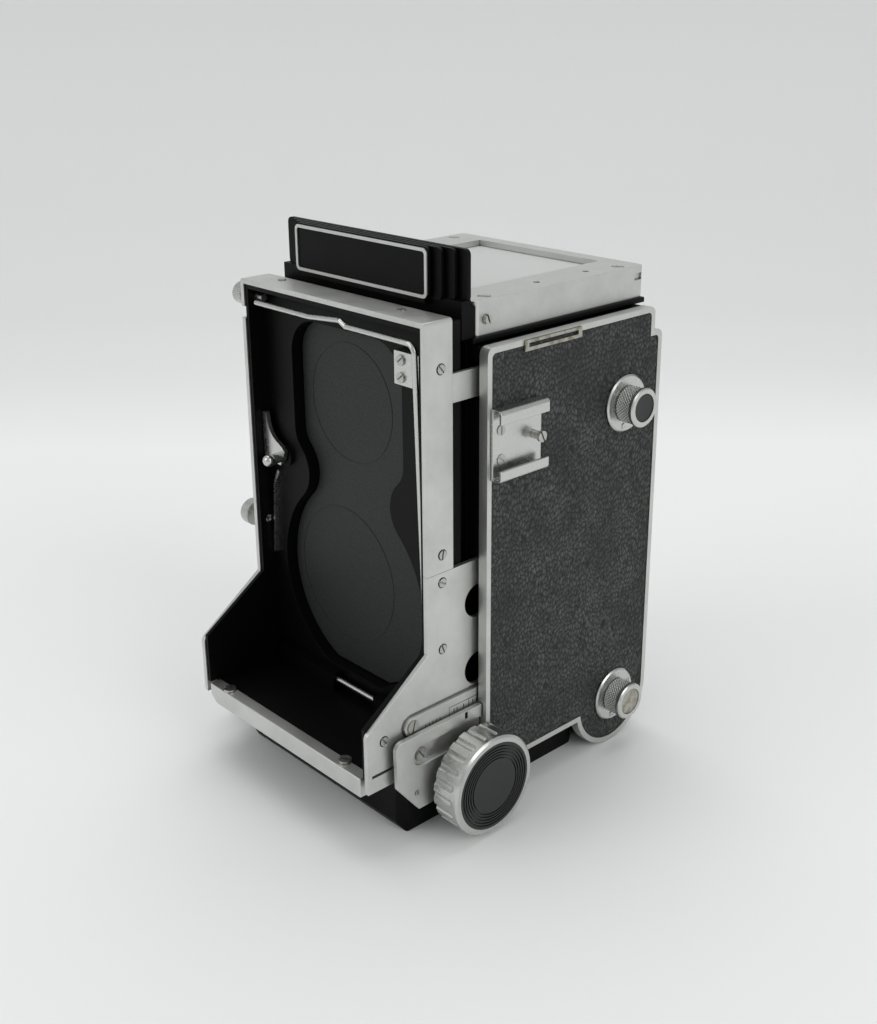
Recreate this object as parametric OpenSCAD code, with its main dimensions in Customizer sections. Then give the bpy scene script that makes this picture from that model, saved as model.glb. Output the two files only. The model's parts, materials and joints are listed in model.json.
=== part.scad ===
// Medium-format twin lens reflex camera body, shown without its lens pair and
// without its folding viewing hood. The front (lens) side faces -Y, the user's
// left side faces +X, and the origin lies on the base at the tripod socket.

/* [Body] */
// Width over the two side covers
body_w = 90; // [88:0.5:96]
// Front face of the body, from the tripod socket
body_front = -12; // [-14:0.5:-11]
// Rear face of the body casting
body_back = 58; // [57:0.5:60]
// Top of the body under the hood seat
body_top = 141.7; // [140:0.1:144]
// Underside of the body in front of the film chamber
body_low = 12.9; // [12:0.1:14]
// Width of the metal rim around the side coverings
rim_w = 1.7; // [1:0.1:2.5]

/* [Film chambers] */
// Distance of both spool axes behind the tripod socket
spool_y = 45.7; // [45:0.1:46.5]
// Height of the take-up spool axis
spool_top_z = 114.4; // [113:0.2:116]
// Outer radius of the lower film chamber
chamber_r = 16.7; // [16:0.1:17.5]

/* [Lens standard] */
// Front face of the lens standard when it is racked in
std_front = -30.3; // [-31:0.1:-29]
// Half of the width of the lens standard
std_hw = 40.3; // [39.8:0.1:40.6]
// Top of the lens standard
std_top = 150.7; // [149:0.1:152]
// Height of the taking lens axis
taking_z = 62; // [60:0.5:64]
// Distance between the two lens axes
lens_gap = 50; // [48:0.5:52]

/* [Focusing] */
// Distance of the focusing shaft from the tripod socket, negative to the front
knob_y = -18.5; // [-19:0.1:-18]
// Height of the focusing shaft
knob_z = 16.3; // [16:0.1:17]
// Radius of the focusing knobs
knob_r = 15.3; // [13:0.1:15.5]
// Number of flutes on a focusing knob
knob_flutes = 22; // [16:1:40]

/* [Hidden] */
$fn = 64;
e = 0.01;
black = "#1b1b1c";
satin = "#b7b8b5";
chrome = "#cfd0cf";
brass = "#a68a52";
hide = "#242424";
steel = "#8f9192";

hw = body_w / 2;              // outer face of a side cover
cover_in = 41.8;              // inner face of a side cover
cast_hw = 36.6;               // half width of the body casting
film_hw = 33.2;               // half width of the film chambers
door_back = 61.7;             // rear of the outline below the notch
notch_z = 134.4;              // height of the step at the rear top
ch_y = door_back - chamber_r; // axis of the lower chamber's outline
ch_z = chamber_r;

wall = 1.5;                   // sheet of the standard's silver frame
std_in = std_hw - wall;       // inner face of that sheet
seam_z = 80;                  // joint between the upper frame and side plates
std_low = 21.5;               // bottom edge of the side plates
frame_d = 10;                 // depth of the upper frame
flare_y = -52.9;              // front end of the side plates
seat_y = -24.3;               // front face of the lens seat
viewing_z = taking_z + lens_gap;
gate_y = 54.4;                // plane the film lies in

tooth_m = 0.8;                // gear module of the focusing rack
pinion_n = 15;
pitch_r = tooth_m * pinion_n / 2;
rack_z = knob_z + pitch_r;

door_pin = [41.5, 2.0];       // Y and Z of the rear door's hinge pin
bail_pin = [-26.2, 29];       // Y and Z of the wire bail's lower bar
bail_tilt = 1.9;              // lean of the bail when it is closed
latch_at = [-26.8, 145.2];    // Y and Z of the knob that frees the bail
press_at = [-26.3, 73.5];     // Y and Z of the release button
lever_pin = [-29, 96.5];      // X and Z of the release lever's pivot
// Y, Z and slot angle of the screws in each side of the standard
side_at = [[-24.5, 137.7, 40], [-24.4, 85.3, -10], [-24.5, 77, 60], [-24.5, 56.6, 20],
  [-46.8, 36.3, 35]];

// ---------------------------------------------------------------- helpers

// Points of an arc around c from angle a0 to a1, in n steps.
function arc(c, r, a0, a1, n = 8) =
  [for (i = [0 : n]) let (a = a0 + (a1 - a0) * i / n) c + r * [cos(a), sin(a)]];

// Outline of a rectangle from p to q with corner radius r.
function rounded(p, q, r) = concat(
  arc([q[0] - r, q[1] - r], r, 0, 90, 5), arc([p[0] + r, q[1] - r], r, 90, 180, 5),
  arc([p[0] + r, p[1] + r], r, 180, 270, 5), arc([q[0] - r, p[1] + r], r, 270, 360, 5));

// Axis-aligned block between two corners.
module block(p, q) {
  translate(p) cube([q[0] - p[0], q[1] - p[1], q[2] - p[2]]);
}

// Extrudes a Y-Z outline along X from x0 to x1.
module side_slab(x0, x1) {
  translate([x0, 0, 0]) rotate([90, 0, 90]) linear_extrude(x1 - x0) children();
}

// Extrudes an X-Z outline along Y from y0 to y1.
module front_slab(y0, y1) {
  translate([0, y1, 0]) rotate([90, 0, 0]) linear_extrude(y1 - y0) children();
}

// Cylinder along +X from x0 to x1 at a Y-Z place.
module rod_x(x0, x1, at, r) {
  translate([x0, at[0], at[1]]) rotate([0, 90, 0]) cylinder(r = r, h = x1 - x0);
}

// The same, with its far edge cut back by c.
module turned_x(x0, x1, at, r, c) {
  rod_x(x0, x1 - c, at, r);
  translate([x1 - c, at[0], at[1]]) rotate([0, 90, 0]) cylinder(r1 = r, r2 = r - c, h = c);
}

// Cylinder along +Y from y0 to y1 at an X-Z place.
module rod_y(y0, y1, at, r) {
  translate([at[0], y1, at[1]]) rotate([90, 0, 0]) cylinder(r = r, h = y1 - y0);
}

// The same shape on both sides of the camera.
module both() {
  children();
  mirror([1, 0, 0]) children();
}

// Slotted screw head, lying in the X-Y plane, rising to h.
module screw_head(r = 1.6, h = 0.6, turn = 0) {
  difference() {
    cylinder(r = r, h = h);
    rotate([0, 0, turn]) translate([-r - 1, -0.25, h * 0.3]) cube([2 * r + 2, 0.5, h]);
  }
}

// Screw head on a face whose outward direction is +X.
module screw_x(x, at, r = 1.6, h = 0.5, turn = 0) {
  translate([x, at[0], at[1]]) rotate([0, 90, 0]) screw_head(r, h, turn);
}

// ------------------------------------------------------------------- body

// Side outline of the body in Y-Z, drawn d inside its edge.
module body_outline(d = 0) {
  r = 2.2 - d / 2;
  polygon(rounded([body_front + d, body_low + d], [body_back - d, body_top - d], r));
  polygon(concat(
    arc([door_back - d - r, notch_z - d - r], r, 0, 90, 5),
    [[ch_y, notch_z - d]],
    arc([ch_y, ch_z], chamber_r - d, 180, 360, 36)));
}

module body_casting() color(black) {
  lands = [[-11.5, 81, 30, 126.5], [-11.5, 137.2, 57, 141.2],
           [51, 31, 57, 137.2], [-11.5, 13.4, 27, 20.6]];
  difference() {
    union() {
      block([-cast_hw, body_front, body_low], [cast_hw, body_back - 0.2, body_top]);
      // end walls of the lower chamber
      difference() {
        rod_x(-41.6, 41.6, [ch_y, ch_z], 14.3);
        block([-film_hw, 0, -20], [film_hw, 90, 60]);
        block([-50, 0, ch_z], [50, 90, 60]);
        rod_x(cast_hw + 0.2, 50, [spool_y, ch_z], 4.4);
        rod_x(-37, 37, door_pin, 1.8);
        rod_x(-50, 50, door_pin, 0.92);
      }
      both() for (l = lands) block([cast_hw - e, l[0], l[1]], [41.7, l[2], l[3]]);
    }
    // bellows well and bulkhead windows
    block([-35.6, body_front - 1, 28.5], [35.6, 4.8, 137.5]);
    block([-24, 4, 96], [24, 8, 136]);
    // taking lens path
    block([-30, 4, 33.5], [30, 60, 90.5]);
    // mirror chamber over the sloping mirror
    side_slab(-31, 31) polygon([[7, 95.9], [45, 133.9], [55, 136.5], [55, 150], [7, 150]]);
    // film track, roller pockets and spool chambers
    block([-film_hw, gate_y, 8], [film_hw, 70, 129]);
    block([-film_hw, 49.6, 91.4], [film_hw, 70, 96.8]);
    block([-film_hw, 49.6, 8], [film_hw, 70, 32.7]);
    block([-film_hw, 31, -1], [film_hw, 70, 30.3]);
    rod_x(-film_hw, film_hw, [spool_y, spool_top_z], 13.2);
    block([-film_hw, spool_y, spool_top_z - 13.2], [film_hw, 70, spool_top_z + 13.2]);
    // film gate seat
    block([-32, 52.9, 33], [32, 60, 91]);
    // bores for the spool pins, the winding shaft and the rollers
    for (z = [spool_top_z, ch_z]) rod_x(film_hw - 1, 43, [spool_y, z], 3.4);
    rod_x(-43, -film_hw + 1, [spool_y, spool_top_z], 3.05);
    rod_x(-34.2, 34.2, [52.2, 30.2], 0.85);
    rod_x(-34.2, 34.2, [52.2, 94], 0.85);
  }
  // fixed front part of the lower chamber's shell, and the hinge lugs
  difference() {
    union() {
      intersection() {
        difference() {
          rod_x(-41.6, 41.6, [ch_y, ch_z], chamber_r - 0.1);
          rod_x(-50, 50, [ch_y, ch_z], 14.7);
        }
        block([-50, 20, -5], [50, 39.2, 13.4]);
      }
      both() {
        rod_x(37.2, 41.6, door_pin, 1.6);
        block([37.2, 38.5, 1.2], [41.6, 41.5, 3.2]);
      }
    }
    rod_x(-50, 50, door_pin, 0.92);
  }
}

// Recessed side sheet with an opening at each height in bores.
module side_cover(bores) {
  difference() {
    side_slab(cover_in, hw) body_outline();
    side_slab(hw - 0.6, hw + 1) body_outline(rim_w);
    for (z = bores) rod_x(30, 60, [spool_y, z], 4.4);
    // seat of the strap lug, and the slot behind it
    block([hw - 0.6, 1.7, 138.4], [hw + 1, 24.7, 141.4]);
    block([hw - 1.4, 3.2, 139.4], [hw + 1, 23.2, 140.6]);
  }
}

module right_side_cover() color(satin) side_cover([spool_top_z, ch_z]);
module left_side_cover() color(satin) mirror([1, 0, 0]) side_cover([spool_top_z]);

module side_leatherette(bores) difference() {
  side_slab(hw - 0.6, hw - 0.05) body_outline(rim_w + 0.05);
  for (z = bores) rod_x(30, 60, [spool_y, z], 4.4);
  block([hw - 2, 1.5, 138.2], [hw + 1, 24.9, 150]);
}

module side_leatherettes() color(hide) {
  side_leatherette([spool_top_z, ch_z]);
  mirror([1, 0, 0]) side_leatherette([spool_top_z]);
}

module strap_lugs() color(brass) both() {
  difference() {
    block([hw - 0.6, 1.7, 138.4], [hw + 0.5, 24.7, 141.4]);
    block([hw - 2, 3.2, 139.4], [hw + 2, 23.2, 140.6]);
  }
}

module base_block() color(black) {
  difference() {
    union() {
      side_slab(-37.3, 37.3) polygon(concat([[-38.4, 3], [-36.4, 0], [33.9, 0]],
        arc([ch_y, ch_z], chamber_r + 0.2, 233, 193.2, 10),
        [[body_front - 0.1, body_low], [body_front - 0.1, 22.5], [-38.4, 22.5]]));
      both() block([37.3 - e, -36.5, 11.9], [42, -27, 20.7]);
    }
    both() translate([37.3, -38.4, -1]) rotate([0, 0, 45]) cube([3.5, 3.5, 60], center = true);
    rod_x(-40, 40, [knob_y, knob_z], 2.55);
    translate([0, 0, -1]) cylinder(r = 8, h = 10);
  }
}

module tripod_socket() color(steel) difference() {
  cylinder(r = 8, h = 9);
  translate([0, 0, -1]) cylinder(r = 3.175, h = 9);
}

module focus_brackets() color(satin) both() difference() {
  side_slab(42, 43.5) polygon(concat(
    [[-44.8, 21.1], [-37.1, 11.5], [body_front - 0.3, 11.5], [body_front - 0.3, 35.5]],
    arc([-42.7, 33], 2.5, 90, 180, 6)));
  // pressed channel along the upper edge, and the shaft bore
  side_slab(42.6, 44) polygon(rounded([-38.7, 25.4], [body_front + 1, 31.7], 3));
  rod_x(30, 60, [knob_y, knob_z], 2.55);
}

module body_screws() color(chrome) {
  for (x = [-34.9, 34.9], y = [-3.5, 52])
    translate([x, y, 152.35]) screw_head(1.85, 0.4, 25);
  both() {
    screw_x(42.6, [-35.6, 28.5], 2.0, 0.9, 35);
    screw_x(43.5, [-37.8, 17.2], 0.8, 0.4, 10);
  }
  // side studs of the hood seat
  both() screw_x(38.5, [-6.3, 147.6], 1.3, 1.2, 20);
}

module hood_seat_frame() color(satin) difference() {
  translate([0, 0, 143.3]) linear_extrude(9.5) polygon(rounded([-38.5, -10.3], [38.5, 59.7], 1.5));
  block([-25.5, -0.3, 140], [25.5, 54.7, 160]);
  block([-27.6, -2.4, 140], [27.6, 56.8, 150.8]);
  // seats of the four corner screws, and the hood's screw holes beside the screen
  for (x = [-34.9, 34.9], y = [-3.5, 52]) translate([x, y, 152.35]) cylinder(r = 1.9, h = 2);
  for (x = [-32.7, 32.7], y = [19.4, 40.2]) translate([x, y, 144]) cylinder(r = 1.0, h = 20);
  both() block([37.6, 55.6, 148.6], [40, 59, 150.6]);
}

module focusing_screen() color("#d8dcda")
  block([-27.5, -2.3, 149.0], [27.5, 56.7, 150.8]);

module screen_retainer() color(black) difference() {
  block([-27.5, -2.3, 147.2], [27.5, 56.7, 149.0]);
  block([-25.5, -0.3, 140], [25.5, 54.7, 160]);
}

module top_light_seal() color(black) difference() {
  block([-39.6, -12, body_top], [39.6, 59.4, 143.3]);
  block([-26, 7, 130], [26, 55, 160]);
}

module reflex_mirror() color("#c9d2d6")
  translate([0, 26, 117]) rotate([45, 0, 0])
    block([-26.8, -25, -1.2], [26.8, 25, 0]);

module mirror_holder() color(black) both()
  translate([0, 26, 117]) rotate([45, 0, 0]) {
    block([26.9, -25, -1.2], [30.9, 25, 1]);
    block([25.4, -24, 0.05], [27, 24, 1]);
  }

// Nameplate housing: a foot on the body's top front and four stepped fins.
module nameplate_housing() color(black) {
  fins = [[-17.9, -16.9, 28.5], [-16.3, -15.3, 31.9], [-14.7, -13.7, 35.3], [-13.1, -11.9, 38.5]];
  block([-38.5, -15.3, 143.3], [38.5, -10.3, 151.6]);
  block([-26.5, -17.4, 151.6 - e], [26.5, -11.9, 166.2]);
  for (f = fins) front_slab(f[0], f[1])
    polygon(rounded([-f[2], 153], [f[2], 167.0], 1.6));
  block([-38.5, -15.3, 151.5], [38.5, -11.9, 153.6]);
}

module nameplate_bezel() color(satin) front_slab(-18.3, -17.9) difference() {
  polygon(rounded([-28.3, 153.2], [28.3, 166.6], 1.5));
  polygon(rounded([-27.4, 154.1], [27.4, 165.7], 0.9));
}

// Shoe channel that runs along Y, with a standard slot between its lips.
module accessory_shoe() color(chrome) {
  difference() {
    front_slab(-10.8, 8.2) polygon(concat(
      [[hw, 124.9], [hw, 104.5]],
      arc([47.8, 105.7], 1.2, 270, 360, 4), arc([47.8, 123.7], 1.2, 0, 90, 4)));
    block([45.9, -12, 105.35], [48.1, 9, 124.05]);
    block([45.9, -12, 108.0], [50, 9, 121.1]);
  }
}

module shoe_screws() color(chrome) {
  stop = [5.0, 114.6];
  screw_x(45.9, [-7.8, 118.6], 1.5, 0.25, 0);
  screw_x(45.9, [-7.7, 110.2], 1.5, 0.25, 50);
  rod_x(45.9, 48.6, stop, 1.2);
  screw_x(48.6, stop, 1.6, 0.9, 25);
}

module spool_flanges() color(chrome)
  for (z = [spool_top_z, ch_z]) {
    difference() {
      turned_x(hw, hw + 0.8, [spool_y, z], 8.7, 0.45);
      rod_x(40, 60, [spool_y, z], 2.7);
    }
    for (a = [20, 140, 260])
      screw_x(hw + 0.8, [spool_y + 6.9 * cos(a), z + 6.9 * sin(a)], 1.0, 0.25, a);
  }

module winding_flange() color(chrome) difference() {
  rod_x(-hw - 0.8, -hw, [spool_y, spool_top_z], 14);
  rod_x(-60, -30, [spool_y, spool_top_z], 3.6);
}

module film_gate() color(steel) difference() {
  block([-32, 52.9, 33], [32, gate_y, 91]);
  block([-28.2, 50, taking_z - 28], [28.2, 60, taking_z + 28]);
}

// Guide roller with its two journals.
module film_roller(z) color(steel) {
  rod_x(-31.5, 31.5, [52.2, z], 2.2);
  rod_x(-33.9, 33.9, [52.2, z], 0.8);
}
module upper_film_roller() film_roller(94);
module lower_film_roller() film_roller(30.2);

module back_latch() color(chrome) difference() {
  block([-8, body_back - 0.1, 135.2], [8, 60.2, 139.8]);
  for (i = [-3 : 3]) block([i * 2 - 0.35, 59.7, 135], [i * 2 + 0.35, 61, 140]);
}

module door_hinge_pin() color(steel) rod_x(-41.5, 41.5, door_pin, 0.9);

// ---------------------------------------------------------------- bellows

module bellows_ring(y0, y1, ox, oz) front_slab(y0, y1) difference() {
  polygon([[-ox, oz[0]], [ox, oz[0]], [ox, oz[1]], [-ox, oz[1]]]);
  polygon([[-31, 34], [31, 34], [31, 132.5], [-31, 132.5]]);
}

module bellows_rear_frame() color(black) bellows_ring(3.6, 4.8, 35.5, [28.6, 137.4]);
module bellows() color("#151515") bellows_ring(-14.8, 3.6, 34.4, [30.6, 135.9]);
module bellows_front_frame() color(black) bellows_ring(-16, -14.8, 37.4, [27, 139]);

// ---------------------------------------------------------- lens standard

// Countersunk seats of those screws.
module side_seats() both() for (s = side_at) rod_x(std_hw - 0.35, 50, [s[0], s[1]], 1.55);

module standard_frame() color(satin) difference() {
  front_slab(std_front, std_front + frame_d) difference() {
    polygon(concat([[std_hw, seam_z]],
      arc([std_hw - 1, std_top - 1], 1, 0, 90, 4),
      arc([1 - std_hw, std_top - 1], 1, 90, 180, 4), [[-std_hw, seam_z]]));
    polygon([[-std_in, 0], [std_in, 0], [std_in, std_top - wall], [-std_in, std_top - wall]]);
  }
  // thumb notch in the left upright, and the bore of the bail's latch
  block([-50, std_front - 1, 138.9], [-30, std_front + 2.6, 142.3]);
  rod_x(-50, -30, latch_at, 1.06);
  side_seats();
}

// Outline of a side plate from its front flare to the rack arm.
module plate_outline() {
  tooth_w = PI * tooth_m;
  polygon(concat(
    [[40, rack_z + 1], [40, 46], [7, 46], [7, seam_z], [std_front, seam_z], [std_front, 56.3]],
    arc([flare_y + 2.6, 38.6], 2.6, 124, 180, 5),
    [[flare_y, std_low], [-27, std_low], [-27, rack_z + 1]]));
  // rack teeth hanging down to the pinion
  for (i = [-2 : 18]) translate([knob_y + i * tooth_w, rack_z])
    polygon([[-0.26, -0.6], [0.26, -0.6], [0.78, 1.05], [-0.78, 1.05]]);
}

module side_plate() difference() {
  side_slab(std_in, std_hw) plate_outline();
  for (z = [67.2, 45.8]) rod_x(30, 50, [-10.9, z], 5);
  // slot that sets off the lower rail
  block([std_in - 1, flare_y + 1.6, 26.1], [std_hw + 1, 20, 27.0]);
  side_seats();
}

module right_side_plate() color(satin) difference() {
  side_plate();
  // line sunk around the distance scale
  side_slab(std_hw - 0.3, std_hw + 1) difference() {
    scale_outline(0.5);
    scale_outline(0);
  }
}
module left_side_plate() color(satin) difference() {
  mirror([1, 0, 0]) side_plate();
  rod_x(-50, -30, press_at, 1.36);
}

// Twin-lobed opening of the lens seat, grown outward by d.
function lobe_points(d) = let (
    ul = 24.5, top = 141, waist = 18.5, lobe_r = 32, turn_r = 8, flat_z = 32.5,
    wz = 93 - taking_z,
    fr = (waist * waist + wz * wz - lobe_r * lobe_r) / (2 * (lobe_r - waist)),
    fx = waist + fr,
    tx = ul - turn_r,
    tz = 93 + sqrt(pow(turn_r + fr, 2) - pow(fx - tx, 2)),
    a_low = atan2(wz, fx),
    a_flat = -asin((taking_z - flat_z + d) / (lobe_r + d)),
    a_up = atan2(tz - 93, fx - tx))
  concat(
    arc([0, taking_z], lobe_r + d, a_flat, a_low, 24),
    arc([fx, 93], fr - d, 180 + a_low, 180 - a_up, 12),
    arc([tx, tz], turn_r + d, -a_up, 0, 6),
    arc([ul - 11, top - 11], 11 + d, 0, 90, 8));

module figure_eight(d = 0) {
  half = lobe_points(d);
  n = len(half);
  polygon(concat(half, [for (i = [n - 1 : -1 : 0]) [-half[i][0], half[i][1]]]));
}

module lens_seat_casting() color(black) {
  top = std_top - wall;
  // side walls that line the flared plates
  difference() {
    both() side_slab(37.5, std_in) polygon([[-16, 25.2], [-16, top], [std_front + 0.5, top],
      [std_front + 0.5, 56.7], [flare_y + 0.5, 41.2], [flare_y + 0.5, 25.2]]);
    rod_x(-50, -30, latch_at, 1.06);
    rod_x(-50, -30, press_at, 1.36);
  }
  block([-37.6, std_front + 0.5, top - 1.4], [37.6, -16, top]);
  // seat with its twin opening and a short collar behind it
  front_slab(seat_y, seat_y + 2.2) difference() {
    polygon([[-37.6, 25.2], [37.6, 25.2], [37.6, top - 1], [-37.6, top - 1]]);
    figure_eight();
  }
  front_slab(seat_y + 2.1, -17) difference() {
    figure_eight(1.5);
    figure_eight();
  }
  // pivot stud of the release lever
  rod_y(seat_y - 1.2, seat_y, lever_pin, 3.2);
  rod_y(seat_y - 4.1, seat_y, lever_pin, 1.0);
}

module standard_floor() color(black)
  block([-std_in, -49, 24], [std_in, -16, 25.2]);

module floor_trim_strip() color(satin) front_slab(-53, -49)
  polygon([[-36.9, 25.2], [-36.9, 21.6], [-34.2, 19.2], [36.9, 19.2], [36.9, 25.2]]);

module standard_screws() color(chrome) {
  both() for (s = side_at) screw_x(std_hw - 0.35, [s[0], s[1]], 1.3, 0.55, s[2]);
  screw_x(41.3, [-37, 37.15], 2.0, 0.35, -15);
  for (p = [[-28.7, 6.8], [24.7, 6.2]])
    translate([p[0], std_front + p[1], std_top]) screw_head(1.2, 0.25, 50);
  for (p = [[-28.9, 9.6], [26.8, 10.5]])
    translate([p[0], std_front - 30.3 + p[1], 25.2]) screw_head(1.9, 0.8, 30);
  for (z = [138.2, 133.4])
    translate([27.6, -27.1, z]) rotate([90, 0, 0]) screw_head(1.5, 0.6, 40);
}

// Engraved distance strip on the user's left plate.
module scale_outline(d) polygon(concat([[-10 + d, 34.2 - d], [-10 + d, 40.1 + d]],
  arc([-37, 37.15], 2.95 + d, 90, 270, 10)));

module focus_scale() color(satin) side_slab(std_hw, 41.3) scale_outline(0);

module locating_plate() color(chrome) block([24.7, -27.1, 131.2], [34.6, seat_y, 140.6]);

module guide_bars() color(satin) both()
  block([std_in, std_front + frame_d, 127.5], [std_in + 1.4, 38, 135.6]);

module dust_plate() color("#2a2b2c") {
  front_slab(-20.6, -19.4) figure_eight(-0.4);
  // faint rings pressed into the plate, off the lens axes
  for (c = [[-6.4, 62.9, 21.7], [-1.9, 118.2, 18.1]])
    front_slab(-20.72, -20.6 + e) translate([c[0], c[1]]) difference() {
      circle(r = c[2]);
      circle(r = c[2] - 0.35);
    }
}

// Wire bail with one leg, drawn upright and then leaned about its lower bar.
module lens_bail() color(chrome) {
  r = 0.8;
  h = 115.5;
  x = 36.2;
  bend_r = 2.4;
  peak = [6, 1.3];
  translate([0, bail_pin[0], bail_pin[1]]) rotate([bail_tilt, 0, 0]) {
    rod_x(-14, x, [0, 0], r);
    translate([x, 0, 0]) cylinder(r = r, h = h - bend_r);
    translate([x, 0, 0]) sphere(r = r);
    translate([x - bend_r, 0, h - bend_r]) rotate([90, 0, 0])
      rotate_extrude(angle = 90) translate([bend_r, 0]) circle(r = r);
    rod_x(-32.8, -8, [0, h], r);
    translate([-32.8, 0, h]) sphere(r = r);
    rod_x(peak[0] + 2.5, x - bend_r, [0, h], r);
    // finger kink, which rises slowly to its peak and drops steeply
    translate([peak[0], 0, h + peak[1]]) sphere(r = r);
    for (k = [-8, peak[0] + 2.5]) {
      translate([k, 0, h]) sphere(r = r);
      translate([k, 0, h]) rotate([0, atan2(peak[0] - k, peak[1]), 0])
        cylinder(r = r, h = norm([peak[0] - k, peak[1]]));
    }
  }
}

module bail_clips() color(black) difference() {
  for (x = [[-34, -6], [13, 34]])
    block([x[0], bail_pin[0] - 1.7, 25.2], [x[1], seat_y, 31.2]);
  rod_x(-50, 50, bail_pin, 0.86);
}

// Knurled pull knob that frees the bail, outside the left wall.
module bail_latch_knob() color(chrome) {
  mirror([1, 0, 0]) turned_x(41, 45.4, latch_at, 3.2, 0.4);
  rod_x(-41.1, -33.6, latch_at, 1.0);
}

// Release button with a thin tip, which passes behind the wire bail.
module release_button() color(chrome) {
  mirror([1, 0, 0]) turned_x(44.2, 48.2, press_at, 4, 0.5);
  rod_x(-44.3, -40.4, press_at, 1.3);
  rod_x(-40.5, -37.2, press_at, 0.5);
}

// Release lever: paddle up at the wall, and a domed sleeve over its pivot that
// reaches forward to the lens's own release.
module release_lever() color(chrome) {
  y0 = seat_y - 2.9;
  y1 = seat_y - 1.6;
  difference() {
    union() {
      front_slab(y0, y1) polygon(concat(
        [[-26.6, 98.6], [-28, 99.9]], arc([-27.2, 108], 7.6, 250, 182, 6),
        [[-35.4, 109.6], [-37.1, 109.6], [-37.1, 95.6], [-33, 94.2], [-29, 93.9]]));
      rod_y(y0 - 4.2, y1, lever_pin, 1.6);
      translate([lever_pin[0], y0 - 4.2, lever_pin[1]]) sphere(r = 1.9);
    }
    rod_y(seat_y - 4.4, seat_y, lever_pin, 1.06);
  }
}

module lever_spring() color(chrome) front_slab(seat_y - 1.4, seat_y)
  polygon([[-37.2, 62.4], [-36.2, 62.4], [-34.4, 86.0], [-32.0, 90.6], [-32.8, 91.1],
    [-35.2, 86.6]]);

// --------------------------------------------------------- focusing drive

module focus_shaft() color(steel) rod_x(-47, 47, [knob_y, knob_z], 2.5);

module focus_pinions() color(steel) both() difference() {
  union() {
    rod_x(38.5, 40.6, [knob_y, knob_z], pitch_r - 0.95);
    for (i = [0 : pinion_n - 1]) translate([0, knob_y, knob_z])
      rotate([(i + 0.5) * 360 / pinion_n, 0, 0]) side_slab(38.5, 40.6)
        polygon([[-0.72, pitch_r - 1.2], [0.72, pitch_r - 1.2], [0.3, pitch_r + 0.6],
          [-0.3, pitch_r + 0.6]]);
  }
  rod_x(30, 50, [knob_y, knob_z], 2.51);
}

module focus_knob() {
  flute_r = 1.5;
  difference() {
    union() {
      turned_x(46, 55.2, [knob_y, knob_z], knob_r, 0.6);
      rod_x(43.8, 46.1, [knob_y, knob_z], 6);
    }
    // flutes with round ends, open to the inner face
    for (i = [0 : knob_flutes - 1])
      translate([0, knob_y, knob_z]) rotate([i * 360 / knob_flutes, 0, 0]) {
        rod_x(45, 52.4, [knob_r + 1, 0], flute_r);
        translate([52.4, knob_r + 1, 0]) sphere(r = flute_r);
      }
    rod_x(43, 47, [knob_y, knob_z], 2.51);
    rod_x(53.9, 56, [knob_y, knob_z], 13.4);
  }
}

module right_focus_knob() color(chrome) focus_knob();
module left_focus_knob() color(chrome) mirror([1, 0, 0]) focus_knob();

module focus_knob_caps() color(black) both() difference() {
  rod_x(53.9, 55.2, [knob_y, knob_z], 13.4);
  for (r = [8.9 : 0.9 : 12.5]) difference() {
    rod_x(54.8, 56, [knob_y, knob_z], r);
    rod_x(54, 57, [knob_y, knob_z], r - 0.45);
  }
}

// ----------------------------------------------------- spools and winding

// Spool pin with a knurled pull knob outside the flange.
module spool_knob(z) color(chrome) {
  difference() {
    union() {
      rod_x(hw + 0.9, 51.2, [spool_y, z], 5.2);
      turned_x(50.9, 52.2, [spool_y, z], 5.9, 0.35);
      rod_x(29.5, hw + 1, [spool_y, z], 2.1);
    }
    rod_x(51.6, 53, [spool_y, z], 4.3);
  }
}
module upper_spool_knob() spool_knob(spool_top_z);
module lower_spool_knob() spool_knob(ch_z);

module spool_collar(z) color(steel) difference() {
  rod_x(37, 38.2, [spool_y, z], 4);
  rod_x(30, 50, [spool_y, z], 2.15);
}
module upper_spool_collar() spool_collar(spool_top_z);
module lower_spool_collar() spool_collar(ch_z);

module take_up_spool() color(black) {
  at = [spool_y, spool_top_z];
  difference() {
    union() {
      rod_x(-32.3, 32.3, at, 5.9);
      both() rod_x(31.4, 32.3, at, 11.9);
    }
    both() rod_x(26, 40, at, 2.4);
  }
}

module winding_knob() color(chrome) {
  at = [spool_y, spool_top_z];
  difference() {
    union() {
      rod_x(-57.5, -46.2, at, 12.6);
      rod_x(-46.3, -33.4, at, 3);
      rod_x(-33.5, -29.5, at, 2.1);
    }
    for (i = [0 : 29]) let (a = i * 12)
      rod_x(-56.7, -47.2, at + 12.9 * [cos(a), sin(a)], 0.75);
    rod_x(-58, -57, at, 10.8);
  }
}

// -------------------------------------------------------------- rear door

module back_door() color(black) {
  difference() {
    union() {
      block([-41.5, body_back + 0.2, ch_z], [41.5, 61.2, 134.1]);
      intersection() {
        difference() {
          rod_x(-41.5, 41.5, [ch_y, ch_z], chamber_r - 0.1);
          rod_x(-50, 50, [ch_y, ch_z], 14.7);
        }
        block([-50, 42, -5], [50, 90, ch_z + e]);
      }
      rod_x(-36.8, 36.8, door_pin, 1.6);
    }
    rod_x(-50, 50, door_pin, 0.96);
    both() block([36.9, 38, -1], [45, 43.9, 6]);
  }
  // light-trap ridges beside the film track, and the plate's guide studs
  both() block([31.8, 55.6, 34], [32.8, body_back + 0.3, 98]);
  for (x = [-20, 20], z = [45, 79]) rod_y(56.7, body_back + 0.3, [x, z], 1.5);
}

module door_leatherette() color(hide)
  block([-39.9, 61.2, 22], [39.9, 61.65, 132.4]);

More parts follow.
